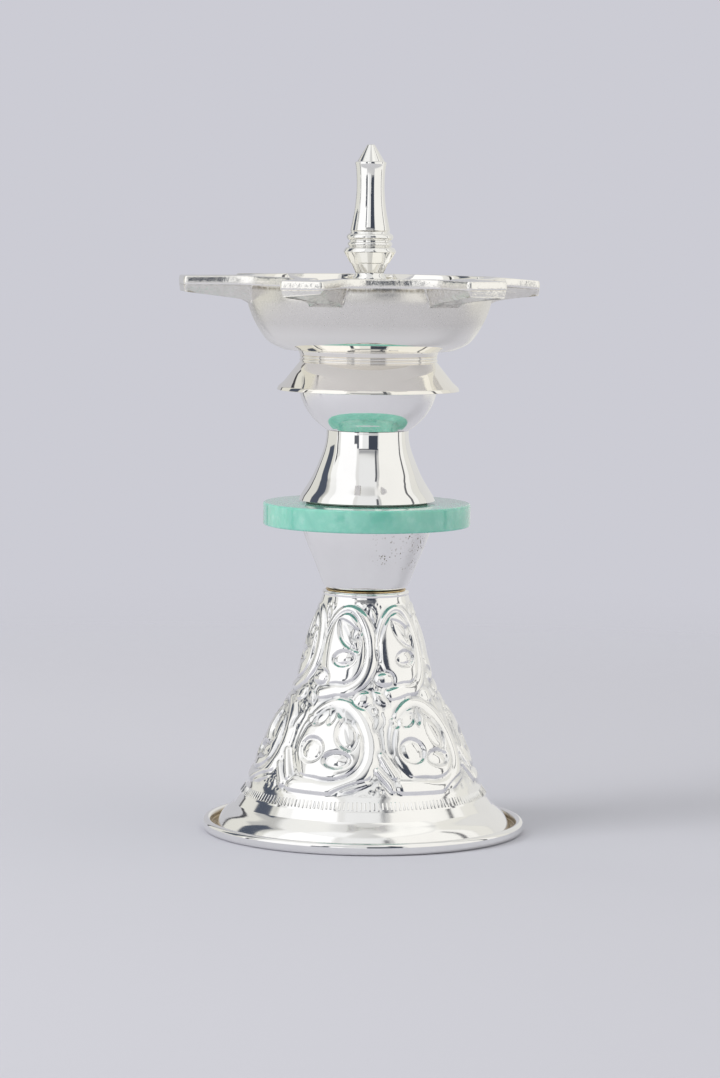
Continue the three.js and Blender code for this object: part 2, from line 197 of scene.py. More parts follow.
def panelGroup():
    given = {"Azimuth": 0.0, "Elevation": 0.0, "Middle": 0.0, "HalfWidth": 10.0, "Low": 0.0, "High": 10.0,
             "Feather": 1.0}
    tree, given, result = newGroup("studioPanel", "ShaderNodeTree", given, {"Mask": "Float"})
    away = maths(tree, "WRAP", minus(tree, given["Azimuth"], given["Middle"]), 180, -180)
    across = minus(tree, given["HalfWidth"], maths(tree, "ABSOLUTE", away))
    above = minus(tree, given["Elevation"], given["Low"])
    below = minus(tree, given["High"], given["Elevation"])
    nearest = maths(tree, "MINIMUM", across, maths(tree, "MINIMUM", above, below))
    share = over(tree, nearest, given["Feather"])
    fill(tree, result, {"Mask": remap(tree, share, -0.5, 0.5, 0, 1, "SMOOTHSTEP")})
    return tree


def makeStudio(s):
    world = bpy.data.worlds.new("studio")
    bpy.context.scene.world = world
    world.use_nodes = True
    tree = world.node_tree
    tree.nodes.clear()
    axes = axesOf(tree, addNode(tree, "ShaderNodeTexCoord")["Generated"])
    azimuth = maths(tree, "DEGREES", maths(tree, "ARCTAN2", axes["X"], times(tree, axes["Y"], -1)))
    elevation = maths(tree, "DEGREES", maths(tree, "ARCSINE", axes["Z"]))
    slope = plus(tree, times(tree, axes["X"], s.ceilingSlope), 1)
    overhead = addNode(tree, "ShaderNodeVectorMath", {0: s.ceiling, "Scale": slope}, operation="SCALE")[0]
    colour = mixColour(tree, remap(tree, elevation, -s.horizon, 0, 0, 1), s.underfoot, overhead)
    group = panelGroup()
    for start, end, low, high, feather, shade in s.panels:
        mask = placeGroup(tree, group, Azimuth=azimuth, Elevation=elevation, Middle=(start + end) / 2,
                          HalfWidth=(end - start) / 2, Low=low, High=high, Feather=feather)[0]
        colour = mixColour(tree, mask, colour, shade + (1,))
    lit = addNode(tree, "ShaderNodeBackground", {"Color": colour})[0]
    seen = addNode(tree, "ShaderNodeBackground", {"Color": s.backdrop})[0]
    cameraRay = addNode(tree, "ShaderNodeLightPath")["Is Camera Ray"]
    both = addNode(tree, "ShaderNodeMixShader", {0: cameraRay, 1: lit, 2: seen})
    addNode(tree, "ShaderNodeOutputWorld", {0: both[0]})


def startMaterial(name, constants):
    material = bpy.data.materials.new(name)
    material.use_nodes = True
    tree = material.node_tree
    fill(tree, tree.nodes["Principled BSDF"], constants)
    return material, tree


def makeFloor(s):
    paper = {"Base Color": s.floor, "Roughness": 0.9, "Specular IOR Level": 0}
    material, tree = startMaterial("floor_paper", paper)
    fade = remap(tree, lengthOf(tree, onPiece(tree)), s.fadeFrom, s.fadeTo, 0, 1, "SMOOTHSTEP")
    clear = addNode(tree, "ShaderNodeBsdfTransparent")[0]
    both = addNode(tree, "ShaderNodeMixShader", {0: fade, 1: tree.nodes["Principled BSDF"].outputs[0], 2: clear})
    fill(tree, tree.nodes["Material Output"], {"Surface": both[0]})
    mesh = bpy.data.meshes.new("floor")
    angles = np.linspace(0, 2 * math.pi, s.floorSides, endpoint=False)
    corners = [(s.floorReach * math.cos(a), s.floorReach * math.sin(a), -s.floorDrop) for a in angles]
    mesh.from_pydata(corners, [], [list(range(len(corners)))])
    mesh.materials.append(material)
    addObject("floor", mesh)


def makeKey(s):
    data = bpy.data.lights.new("key", "AREA")
    data.shape, data.size, data.energy = "DISK", s.size, s.power
    key = addObject("key", data)
    away = Vector(s.place)
    key.matrix_world = Matrix.Translation(away) @ away.to_track_quat("Z", "Y").to_matrix().to_4x4()
    key.visible_camera = key.visible_glossy = False


makeStudio(Named(**studio))
makeFloor(Named(**studio))
makeKey(Named(**studio["key"]))
bpy.context.scene.view_settings.view_transform = "Standard"
print("studio and floor made")


# shared surface effects

def turningMarks():
    given = {"Spacing": 0.0006, "Wander": 0.5}
    tree, given, result = newGroup("turningMarks", "ShaderNodeTree", given, {"Height": "Float"})
    axes = axesOf(tree, onPiece(tree))
    radius = lengthOf(tree, xyz(tree, X=axes["X"], Y=axes["Y"]))
    shift = times(tree, times(tree, noise(tree, 60), given["Wander"]), given["Spacing"])
    up = over(tree, plus(tree, axes["Z"], shift), given["Spacing"])
    place = xyz(tree, X=up, Y=over(tree, radius, given["Spacing"]))
    lines = addNode(tree, "ShaderNodeTexNoise", {"Vector": place, "Scale": 1, "Detail": 2, "Roughness": 0.6},
                    noise_dimensions="2D")
    fill(tree, result, {"Height": lines["Fac"]})
    return tree


def wipeMarks():
    made = {"Haze": "Float", "Scratches": "Float"}
    tree, given, result = newGroup("wipeMarks", "ShaderNodeTree", {"Size": 0.01}, made)
    scale = over(tree, 1, given["Size"])
    stretched = addNode(tree, "ShaderNodeMapping", {"Vector": onPiece(tree), "Rotation": (0.3, 0.5, 0.2),
                                                   "Scale": (1, 1, 0.06)})[0]
    fine = noise(tree, times(tree, scale, 40), stretched, Detail=2)
    fill(tree, result, {"Haze": noise(tree, scale, Detail=4, Roughness=0.55),
                        "Scratches": remap(tree, fine, 0.62, 0.72, 0, 1)})
    return tree


def speckle():
    given = {"Cell": 0.0008, "Share": 0.3, "Dot": 0.3}
    tree, given, result = newGroup("speckle", "ShaderNodeTree", given, {"Mask": "Float"})
    scale = over(tree, 1, given["Cell"])
    cells = addNode(tree, "ShaderNodeTexVoronoi", {"Vector": onPiece(tree), "Scale": scale})
    near = maths(tree, "LESS_THAN", cells["Distance"], given["Dot"])
    chance = addNode(tree, "ShaderNodeSeparateColor", {0: cells["Color"]})[0]
    fill(tree, result, {"Mask": times(tree, near, maths(tree, "LESS_THAN", chance, given["Share"]))})
    return tree


turningGroup, wipeGroup, speckleGroup = turningMarks(), wipeMarks(), speckle()


# metals

silverLooks = {
    # tint, roughness, depth of the turning marks, their spacing, scratches
    "silver_polished": ((0.945, 0.94, 0.925), 0.03, 0.008, 0.5, 0.08),
    "silver_spun": ((0.98, 0.972, 0.96), 0.06, 0.03, 0.7, 0.15),
    "silver_warm": ((0.955, 0.93, 0.875), 0.03, 0.012, 0.4, 0.10),
    "silver_finial": ((0.945, 0.94, 0.92), 0.03, 0.06, 0.5, 0.3),
    # the bowl's darker tint is painted shade, laid on its downward skin and keels
    "silver_bowl": ((0.85, 0.83, 0.79), 0.05, 0.05, 0.8, 0.2),
    "silver_embossed": ((0.98, 0.975, 0.96), 0.085, 0.0, 0.5, 0.10),
}

# colours of wear, and of painted shade in the chased lines and painted light on the bowl's tops against its
# painted-shade skin
wearAndShade = {
    "recessShade": (0.16, 0.19, 0.26, 1), "satinAndShade": (0.96, 0.945, 0.905, 1), "underBandBrown": (0.38, 0.35, 0.28, 1),
    "pit": (0.30, 0.27, 0.21, 1), "pitSide": (0.5 * mm, 5 * mm), "pitHeight": (65.5 * mm, 68 * mm),
    "grooveDark": (0.16, 0.11, 0.05, 1), "grooveBrass": (0.55, 0.42, 0.22, 1),
    "grooveWithin": (38.35 * mm, 38.75 * mm), "grooveAbove": (0.9 * mm, 1.1 * mm),
}


def bumpFrom(tree, height, distance, strength, before=None):
    inputs = {"Height": height, "Distance": distance * mm, "Strength": strength}
    if before is not None:
        inputs["Normal"] = before
    return addNode(tree, "ShaderNodeBump", inputs)[0]


def maskOf(tree, name):
    return addNode(tree, "ShaderNodeAttribute", attribute_name=name)["Fac"]


def finish(tree, colour, rough, normal):
    fill(tree, tree.nodes["Principled BSDF"], {"Base Color": colour, "Roughness": rough, "Normal": normal})


def silver(name, addition=None, ending=""):
    tint, roughness, turning, spacing, scratch = silverLooks[name]
    material, tree = startMaterial(name + ending, {"Metallic": 1})
    haze, scratches = placeGroup(tree, wipeGroup, Size=9 * mm)
    rough = remap(tree, haze, 0.35, 0.7, roughness * 0.8, roughness * 1.5)
    rough = plus(tree, rough, times(tree, scratches, scratch * 0.5))
    dulled = tuple(0.93 * c for c in tint) + (1,)
    colour = mixColour(tree, remap(tree, haze, 0.4, 0.8, 0, 0.6), tint + (1,), dulled)
    normal = bumpFrom(tree, scratches, 0.004, scratch)
    if turning:
        marks = placeGroup(tree, turningGroup, Spacing=spacing * mm, Wander=0.4)[0]
        normal = bumpFrom(tree, marks, 0.05, turning, normal)
    if addition:
        colour, rough, normal = addition(tree, colour, rough, normal)
    finish(tree, colour, rough, normal)
    return material


# punched ground, and painted shade darkening the chased lines and punch dents
def chasedLook(tree, colour, rough, normal):
    grain, soft = noise(tree, 1.3 / mm, Detail=2), noise(tree, 0.22 / mm, Detail=1)
    normal = bumpFrom(tree, times(tree, grain, maskOf(tree, "stipple")), 0.12, 0.45, normal)
    normal = bumpFrom(tree, soft, 0.25, 0.06, normal)
    # painted shade: the chased lines and punch dents darkened towards dark blue-grey
    recessShade = times(tree, maskOf(tree, "recessShade"), remap(tree, soft, 0.4, 0.6, 0.1, 0.65))
    return mixColour(tree, recessShade, colour, wearAndShade["recessShade"]), rough, normal


# grain of the casting; satin skin and keels, rougher and painted darker as shade, with the polished tops painted
# lighter; and a brown darkening under the rim band and along the keels
def castLook(tree, colour, rough, normal):
    grain, satinAndShade = noise(tree, 0.8 / mm, Detail=5, Roughness=0.6), maskOf(tree, "satinAndShade")
    normal = bumpFrom(tree, times(tree, grain, maskOf(tree, "cast")), 0.5, 0.8, normal)
    rough = plus(tree, rough, times(tree, satinAndShade, 0.20))
    # painted light and shade: the tops take the bright colour, the satin skin and keels the darker tint
    colour = mixColour(tree, satinAndShade, wearAndShade["satinAndShade"], colour)
    # brown darkening under the rim band and along the keels
    darkUnderBand = times(tree, maskOf(tree, "underBandDark"), remap(tree, grain, 0.35, 0.6, 0.3, 1))
    return mixColour(tree, darkUnderBand, colour, wearAndShade["underBandBrown"]), rough, normal


# pits in the plating, at the stem's upper right
def pittedLook(tree, colour, rough, normal):
    spots = placeGroup(tree, speckleGroup, Cell=0.75 * mm, Share=0.3, Dot=0.33)[0]
    tiny = placeGroup(tree, speckleGroup, Cell=0.45 * mm, Share=0.2, Dot=0.34)[0]
    axes = axesOf(tree, onPiece(tree))
    side = remap(tree, axes["X"], *wearAndShade["pitSide"], 0, 1)
    height = remap(tree, axes["Z"], *wearAndShade["pitHeight"], 0, 1)
    clumps = remap(tree, noise(tree, 0.16 / mm), 0.45, 0.58, 0, 1)
    area = times(tree, times(tree, side, height), clumps)
    pits = times(tree, maths(tree, "MAXIMUM", spots, tiny), area)
    normal = bumpFrom(tree, minus(tree, 1, pits), 0.08, 0.6, normal)
    colour = mixColour(tree, pits, colour, wearAndShade["pit"])
    return colour, plus(tree, rough, times(tree, pits, 0.35)), normal


# bare brass in the plate's groove round the cone's foot
def groovedLook(tree, colour, rough, normal):
    axes = axesOf(tree, onPiece(tree))
    radius = lengthOf(tree, xyz(tree, X=axes["X"], Y=axes["Y"]))
    inside = remap(tree, radius, *wearAndShade["grooveWithin"], 1, 0)
    groove = times(tree, inside, remap(tree, axes["Z"], *wearAndShade["grooveAbove"], 0, 1))
    brass = mixColour(tree, noise(tree, 0.35 / mm, Detail=4), wearAndShade["grooveDark"], wearAndShade["grooveBrass"])
    return mixColour(tree, groove, colour, brass), plus(tree, rough, times(tree, groove, 0.25)), normal


def plainMetal(name, light, dark, roughness, markSize):
    material, tree = startMaterial(name, {"Metallic": 1})
    haze, scratches = placeGroup(tree, wipeGroup, Size=markSize * mm)
    colour = mixColour(tree, remap(tree, haze, 0.35, 0.7, 0, 1), light + (1,), dark + (1,))
    rough = remap(tree, haze, 0.3, 0.7, roughness * 0.8, roughness * 1.3)
    finish(tree, colour, rough, bumpFrom(tree, scratches, 0.02, 0.3))
    return material


# stone, felt and rubber

stoneLook = {
    "deep": (0.17, 0.54, 0.43, 1), "middle": (0.26, 0.65, 0.53, 1), "pale": (0.47, 0.80, 0.71, 1),
    "speck": (0.55, 0.85, 0.75, 1), "cloudSize": 14 * mm, "fleckSize": 2.2 * mm, "roughness": 0.12,
    "shader": {"Subsurface Weight": 0.35, "Subsurface Radius": (0.35, 1.0, 0.75), "Subsurface Scale": 2.5 * mm,
               "IOR": 1.6, "Coat Roughness": 0.03, "Coat Weight": 0.6},
}


def greenStone(s):
    material, tree = startMaterial("green_stone_polished", s.shader)
    clouds = noise(tree, 1 / s.cloudSize, Detail=5, Roughness=0.62, Distortion=0.6)
    flecks = noise(tree, 1 / s.fleckSize, Detail=3)
    veins = addNode(tree, "ShaderNodeTexVoronoi", {"Vector": onPiece(tree), "Scale": 0.4 / s.fleckSize})
    tone = mixColour(tree, remap(tree, clouds, 0.30, 0.70, 0, 1), s.deep, s.middle)
    milky = times(tree, remap(tree, flecks, 0.45, 0.75, 0, 0.55), remap(tree, clouds, 0.40, 0.65, 0.1, 0.9))
    tone = mixColour(tree, milky, tone, s.pale)
    tone = mixColour(tree, remap(tree, veins["Distance"], 0.04, 0.16, 0.22, 0), tone, s.speck)
    rough = remap(tree, flecks, 0.3, 0.7, s.roughness * 0.7, s.roughness * 1.6)
    finish(tree, tone, rough, bumpFrom(tree, flecks, 0.02, 0.15))
    return material


def matted(name, light, dark, roughness, grainSize):
    material, tree = startMaterial(name, {})
    grain = noise(tree, 1 / (grainSize * mm), Detail=4)
    rough = remap(tree, grain, 0.3, 0.7, roughness * 0.9, roughness)
    finish(tree, mixColour(tree, grain, dark + (1,), light + (1,)), rough, bumpFrom(tree, grain, 0.1, 0.4))
    return material


finishes = {
    "polished": silver("silver_polished"),
    "spun": silver("silver_spun"),
    "pitted": silver("silver_spun", pittedLook, "_pitted"),
    "warm": silver("silver_warm"),
    "finial": silver("silver_finial"),
    "cast": silver("silver_bowl", castLook),
    "embossed": silver("silver_embossed", chasedLook),
    "grooved": silver("silver_polished", groovedLook),
    "goldLine": plainMetal("gold_line_edge", (0.83, 0.66, 0.36), (0.62, 0.45, 0.2), 0.18, 4),
    "brass": plainMetal("plain_brass_rod", (0.72, 0.56, 0.30), (0.5, 0.37, 0.18), 0.32, 5),
    "steel": plainMetal("zinc_steel", (0.62, 0.62, 0.6), (0.44, 0.45, 0.46), 0.38, 3),
    "stone": greenStone(Named(**stoneLook)),
    "felt": matted("pressed_felt", (0.84, 0.82, 0.76), (0.66, 0.64, 0.58), 0.95, 0.25),
    "rubber": matted("seal_rubber", (0.06, 0.055, 0.05), (0.03, 0.028, 0.025), 0.75, 0.3),
}
print("finishes made:", len(finishes))


# profiles: lists of (radius, height) in millimetres, walked from the foot up the outside

def curveThrough(stations, count):
    p = np.array(stations, float)
    last = len(p) - 1
    t = np.linspace(0, last, count)
    i = np.minimum(t.astype(int), last - 1)
    w = (t - i)[:, None]
    before, start, end, after = p[np.maximum(i - 1, 0)], p[i], p[i + 1], p[np.minimum(i + 2, last)]
    leave, arrive = (end - before) / 2, (after - start) / 2
    cube = (2 * start - 2 * end + leave + arrive) * w ** 3
    square = (3 * end - 3 * start - 2 * leave - arrive) * w ** 2
    return [tuple(q) for q in cube + square + leave * w + start]


def arcAbout(radius, height, size, start, end, count):
    angles = np.radians(np.linspace(start, end, count))
    return [(radius + size * math.cos(a), height + size * math.sin(a)) for a in angles]


# a third number at a point is the reach of its round corner
def withRoundCorners(points, steps=5):
    done = []
    for i, point in enumerate(points):
        if len(point) == 2:
            done.append(point)
            continue
        corner = np.array(point[:2])
        before = np.array(points[i - 1][:2]) - corner
        after = np.array(points[(i + 1) % len(points)][:2]) - corner
        reach = min(point[2], np.linalg.norm(before) * 0.48, np.linalg.norm(after) * 0.48)
        start = corner + before / np.linalg.norm(before) * reach
        end = corner + after / np.linalg.norm(after) * reach
        for t in np.linspace(0, 1, steps):
            done.append(tuple((1 - t) ** 2 * start + 2 * t * (1 - t) * corner + t * t * end))
    return done


def flatRing(hole, radius, thick, edge, steps):
    return withRoundCorners([(hole, 0), (radius, 0, edge), (radius, thick, edge), (hole, thick)], steps)


def unitRows(v):
    return v / np.linalg.norm(v, axis=1)[:, None]


# unseen, so every sixth point will do
def innerSkin(outer, wall, foot, top):
    p = np.array(outer)
    inner = p + wall * unitRows(np.gradient(p, axis=0))[:, ::-1] * [-1, 1]
    ranked = inner[np.argsort(inner[:, 1], kind="stable")]
    low, high = np.interp([foot, top], ranked[:, 1], ranked[:, 0])
    kept = [tuple(q) for q in inner if foot + wall / 2 < q[1] < top - wall / 2][::6]
    return [(low, foot)] + kept + [(high, top)]


# turned pieces: a profile swept about the lamp's axis

def endGroup(tree, given, result, geometry):
    real = addNode(tree, "GeometryNodeRealizeInstances", {0: geometry})[0]
    finished = addNode(tree, "GeometryNodeSetMaterial", {"Geometry": real, "Material": given["Finish"]})
    fill(tree, result, {"Piece": finished[0]})
    return tree


def turnedTree():
    given = {"Profile": "Geometry", "Steps": 160, "Crease Angle": 0.5, "Finish": "Material"}
    tree, given, result = newGroup("turnedPiece", "GeometryNodeTree", given, {"Piece": "Geometry"})
    points = addNode(tree, "GeometryNodeAttributeDomainSize", {0: given["Profile"]})["Point Count"]
    rows = plus(tree, given["Steps"], 1)
    grid = addNode(tree, "GeometryNodeMeshGrid", {"Vertices X": points, "Vertices Y": rows})["Mesh"]
    index = addNode(tree, "GeometryNodeInputIndex")[0]
    station = maths(tree, "FLOOR", over(tree, plus(tree, index, 0.5), rows))
    step = minus(tree, index, times(tree, station, rows))
    angle = times(tree, over(tree, step, given["Steps"]), 2 * math.pi)
    where = addNode(tree, "GeometryNodeInputPosition")[0]
    wanted = {"Geometry": given["Profile"], "Value": where, "Index": station}
    sample = addNode(tree, "GeometryNodeSampleIndex", wanted, data_type="FLOAT_VECTOR", domain="POINT")
    axes = axesOf(tree, sample[0])
    place = xyz(tree, X=times(tree, axes["X"], maths(tree, "SINE", angle)), Z=axes["Z"],
                Y=times(tree, axes["X"], times(tree, maths(tree, "COSINE", angle), -1)))
    shape = addNode(tree, "GeometryNodeSetPosition", {"Geometry": grid, "Position": place})[0]
    weld = {"Geometry": shape, "Distance": 0.002 * mm}
    shape = addNode(tree, "GeometryNodeMergeByDistance", weld)[0]
    bend = addNode(tree, "GeometryNodeInputMeshEdgeAngle")["Unsigned Angle"]
    limits = {0: bend, 1: given["Crease Angle"]}
    sharp = addNode(tree, "FunctionNodeCompare", limits, operation="GREATER_THAN")[0]
    shape = addNode(tree, "GeometryNodeSetShadeSmooth", {"Geometry": shape}, domain="FACE")[0]
    crisp = {"Geometry": shape, "Selection": sharp, "Shade Smooth": False}
    shape = addNode(tree, "GeometryNodeSetShadeSmooth", crisp, domain="EDGE")[0]
    return endGroup(tree, given, result, shape)


def grow(piece, group, values):
    modifier = piece.modifiers.new(group.name, "NODES")
    modifier.node_group = group
    for item in group.interface.items_tree:
        if item.name in values:
            modifier[item.identifier] = values[item.name]


def faceOutwards(mesh):
    mesh.calc_loop_triangles()
    corners = np.zeros(len(mesh.loop_triangles) * 3, np.int32)
    mesh.loop_triangles.foreach_get("vertices", corners)
    places = np.zeros(len(mesh.vertices) * 3)
    mesh.vertices.foreach_get("co", places)
    a, b, c = places.reshape(-1, 3)[corners.reshape(-1, 3)].transpose(1, 0, 2)
    if np.einsum("ij,ij->i", a, np.cross(b, c)).sum() < 0:
        mesh.flip_normals()


def settle(piece, body, replaced=()):
    bpy.context.view_layer.update()
    shown = piece.evaluated_get(bpy.context.evaluated_depsgraph_get())
    mesh = bpy.data.meshes.new_from_object(shown)
    piece.modifiers.clear()
    piece.data = mesh
    mesh.name = piece.name
    faceOutwards(mesh)
    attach(piece, body)
    for node in replaced:
        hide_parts(node)
    print("piece", piece.name, len(mesh.polygons), "faces")


def newPiece(name, points, edges=(), faces=()):
    mesh = bpy.data.meshes.new(name)
    mesh.from_pydata([tuple(p) for p in points], list(edges), [list(f) for f in faces])
    return addObject(name, mesh)


turnedPiece = turnedTree()


# a profile that starts off the axis is closed on itself
def turn(name, node, profile, finish, steps=160, crease=30, body="stand", level=None):
    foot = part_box(node)[0].z if level is None else level
    if profile[0][0] > 0:
        profile = profile + [profile[0]]
    points = [(radius * mm, 0, foot + height * mm) for radius, height in profile]
    piece = newPiece(name, points, [(i, i + 1) for i in range(len(points) - 1)])
    grow(piece, turnedPiece, {"Steps": steps, "Crease Angle": math.radians(crease), "Finish": finishes[finish]})
    settle(piece, body, [node])


sheetMetal = {"wall": 0.9, "hole": 2.35}


# sheet closed at both ends but for the rod's hole
def spun(name, node, outer, finish):
    wall, hole = sheetMetal["wall"], sheetMetal["hole"]
    foot, top = outer[0][1], outer[-1][1]
    inner = innerSkin(outer, wall, foot + wall, top - wall)
    land, footLand = [(hole, top), (hole, top - wall)], [(hole, foot + wall), (hole, foot)]
    turn(name, node, outer + land + inner[::-1] + footLand, finish)


basePlate = {"radius": 40.5, "thick": 1.2, "height": 3.0, "bead": 1.05, "fillet": 0.25}


def makeBasePlate(radius, thick, height, bead, fillet):
    beadAt = radius - bead
    profile = [(0, 0)] + arcAbout(radius - thick, thick, thick, -90, 0, 9)
    profile += arcAbout(beadAt, height - bead, bead, 0, 180, 17)
    profile += [(beadAt - bead, thick + fillet), (beadAt - bead - fillet, thick), (0, thick)]
    turn("base_plate_rolled", "base_plate", profile, "grooved", steps=240)


makeBasePlate(**basePlate)

jointRing = {"hole": 2.35, "radius": 10.05, "thick": 0.24, "edge": 0.15, "steps": 5}
turn("joint_ring_edge", "joint_ring", flatRing(**jointRing), "goldLine", steps=96)

stemCone = {"stations": [(9.85, 0), (10.8, 1.1), (13.15, 7.0), (15.25, 12.1), (16.15, 15.1)], "count": 48}
spun("stem_cone_spun", "stem_cone", curveThrough(**stemCone), "pitted")

stoneDisc = {"radius": 26.0, "thick": 5.7, "edge": 0.55, "hole": 2.7, "steps": 7}
turn("stone_disc_polished", "stone_disc", flatRing(**stoneDisc), "stone", steps=240,
     crease=40)

bell = {"edge": [(17.1, 0), (17.02, 0.14), (16.55, 1.2)], "steps": 56,
        "stations": [(15.8, 2.4), (14.25, 4.9), (13.0, 7.4), (11.0, 12.5), (10.35, 15.5), (10.3, 17.5)]}
spun("bell_spun", "bell", bell["edge"] + curveThrough(bell["stations"], bell["steps"]), "polished")

stemBead = {"radius": 17.3, "halfHeight": 14.5, "cut": 11.6, "height": 11.0, "steps": 48}


def makeStemBead(radius, halfHeight, cut, height, steps):
    outer = [(radius * math.sqrt(1 - ((cut - h) / halfHeight) ** 2), h) for h in np.linspace(0, height, steps)]
    spun("stem_bead_spun", "stem_bead", outer, "spun")


makeStemBead(**stemBead)

collar = {
    "web": 1.2, "bore": 15.6, "wall": 1.0, "rise": 8.8, "hem": 22.85, "drop": 1.3, "skirtTop": (17.1, 5.9),
    # away from the hem's lowest outer point, and away from the lip's top outer point
    "hemEdge": [(-0.6, 0.06, 0.2), (-0.3, 0, 0.15), (-0.03, 0.1, 0.15), (-0.05, 0.2), (-0.32, 0.95, 0.15)],
    "lipEdge": [(-0.05, -0.2, 0.1), (-0.15, 0, 0.1)],
    "skirtSteps": (0.3, 0.6, 0.97), "bead": 0.38, "beadStep": 0.84, "beadInset": (0.2, 0.25), "lip": 17.6,
}


def makeCollar(web, bore, wall, rise, hem, drop, skirtTop, hemEdge, lipEdge, skirtSteps, bead, beadStep,
               beadInset, lip):
    hole, cup, low = sheetMetal["hole"], bore + wall, skirtTop[1] + bead
    radius, height = skirtTop
    profile = [(hole, 0), (cup, 0, 0.3), (cup, height - 2 * wall, 0.4)]
    profile += [(hem + r, z - drop, *corner) for r, z, *corner in hemEdge]
    profile += [(hem + (radius - hem) * t, -drop + (height + drop) * t) for t in skirtSteps]
    for k, inset in enumerate(beadInset):
        profile += arcAbout(radius - inset, low + k * beadStep, bead, -75, 75, 9)
    profile += [(radius + 0.1, low + 2 * beadStep - bead, 0.05)]
    profile += [(lip + r, rise + z, corner) for r, z, corner in lipEdge]
    profile += [(bore, rise, 0.2), (bore, web), (hole, web)]
    turn("drip_collar_turned", "drip_collar", withRoundCorners(profile), "warm", steps=200,
         level=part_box("drip_collar")[0].z + drop * mm)


makeCollar(**collar)

finial = {
    "foot": 6.6, "footHigh": 2.0, "stem": 4.0, "bore": 2.05, "deep": 12, "neckAt": 15.0,
    "neck": [(4.15, -0.1), (3.6, 0.8), (3.5, 1.2)],
    "bulb": [(4.6, 3.55), (4.95, 3.7), (6.4, 6.1), (6.6, 6.45), (6.15, 7.35)],
    "rings": [(5.0, 8.35, 0.6), (4.95, 10.1, 0.88)], "shaftAt": 26.75,
    "shaft": [(4.98, 0), (4.68, 1.3), (3.88, 5.6), (3.5, 10.2), (3.6, 14.5), (3.9, 16.6)],
    "tipAt": 43.8, "tip": 0.9, "tipHigh": 4.2,
}


def makeFinial(foot, footHigh, stem, bore, deep, neckAt, neck, bulb, rings, shaftAt, shaft, tipAt, tip, tipHigh):
    profile = [(0, deep), (bore, deep - 1), (bore, 0), (foot, 0, 0.3), (foot, footHigh * 0.4, 0.3)]
    fillet = [(foot - 0.6, footHigh * 0.6), (stem + 0.5, footHigh + 0.6), (stem, footHigh + 2.5)]
    profile += curveThrough(fillet, 12) + [(stem, neckAt - 1.2, 0.3)]
    profile += [(r, neckAt + z, 0.25) for r, z in neck + bulb]
    for radius, height, size in rings:
        profile += arcAbout(radius, neckAt + height, size, -78, 78, 11)
    low, high = shaft[0][0], shaft[-1][0]
    profile += [(low - 0.15, shaftAt - 0.35, 0.1)] + curveThrough([(r, shaftAt + z) for r, z in shaft], 34)
    profile += [(high - 0.05, tipAt - 0.12), (high - 0.45, tipAt, 0.12), (tip, tipAt + tipHigh, 0.2),
                (0, tipAt + tipHigh + 0.1)]
    turn("finial_turned", "finial", withRoundCorners(profile), "finial", steps=120, body="finial", crease=24)


makeFinial(**finial)
print("turned pieces made")


# lofted pieces: rings is rows x columns x 3, closed both ways

def share(value, start, end):
    return np.clip((value - start) / (end - start), 0, 1)


def loft(name, rings, masks, finish, node, body, crease):
    rows, columns = rings.shape[:2]
    below = np.arange(rows * columns).reshape(rows, columns)
    above = np.roll(below, -1, axis=0)
    faces = np.stack([below, np.roll(below, -1, axis=1), np.roll(above, -1, axis=1), above], axis=-1)
    piece = newPiece(name, rings.reshape(-1, 3), faces=faces.reshape(-1, 4))
    mesh = piece.data
    for key, values in masks.items():
        attribute = mesh.attributes.new(key, "FLOAT", "POINT")
        attribute.data.foreach_set("value", values.reshape(-1).astype(np.float32))
    mesh.materials.append(finishes[finish])
    mesh.shade_smooth()
    mesh.set_sharp_from_angle(angle=math.radians(crease))
    settle(piece, body, [node])


# embossed cone foot: six units of two scroll medallions, chased into the pressed sheet

cone = {
    "skirt": [(37.2, 0), (35.4, 3.0), (32.7, 5.4), (31.1, 7.5)],
    "band": [(31.0, 7.9), (29.45, 10.5)],
    "body": [(29.23, 10.9), (22.2, 26.2), (17.0, 36.6), (13.3, 49.4), (10.8, 58.05), (10.4, 59.45)],
    "columns": 528, "bodyRows": 150, "units": 6, "firstUnit": -21, "unitReach": 62,
    "reliefFrom": 10.9, "reliefTo": 57.0, "fade": 0.8, "fadeStart": 0.25,
    "lip": 0.4, "lipAt": 59.0, "lipWidth": 0.32, "seed": 7, "dots": 4200, "dotDepth": 0.20, "dotSize": 0.34,
}
stretch = 1.075  # millimetres along the sheet for one of height
# Bearings are degrees from the unit's middle, heights and widths millimetres on the cone.
scrolls = {
    "upper": {"middle": (0.5, 45.8), "across": 27.3, "up": 10.0, "tail": (-17, 35.0), "start": 262, "sweep": 288,
              "thick": 1.75, "thin": 0.38, "height": 0.62, "pillow": 0.95, "groove": 0.22},
    "lower": {"middle": (1.5, 22.9), "across": 24.6, "up": 10.2, "tail": (-19.0, 13.4), "start": 256,
              "sweep": 292, "thick": 2.3, "thin": 0.42, "height": 0.78, "pillow": 1.2, "groove": 0.22},
}
leaves = [
    # from, to, half width, height
    ((-9.0, 53.0), (14.5, 45.4), 1.75, 0.50),
    ((-13.4, 27.5), (-3.5, 30.4), 0.95, 0.34),
    ((-2.6, 27.6), (0.4, 31.4), 0.60, 0.32),
    ((1.2, 31.2), (14.5, 28.3), 0.65, 0.32),
    ((6.4, 28.9), (13.6, 21.6), 2.05, 0.45),
    ((12.4, 33.9), (28.0, 34.6), 1.75, 0.62),
    ((27.6, 35.9), (40.0, 32.2), 1.05, 0.48),
    ((4.2, 11.6), (27.5, 15.0), 0.75, 0.42),
    ((28.0, 56.0), (32.0, 52.5), 0.5, 0.3),
    ((33.0, 30.5), (27.5, 26.5), 0.8, 0.3),
]
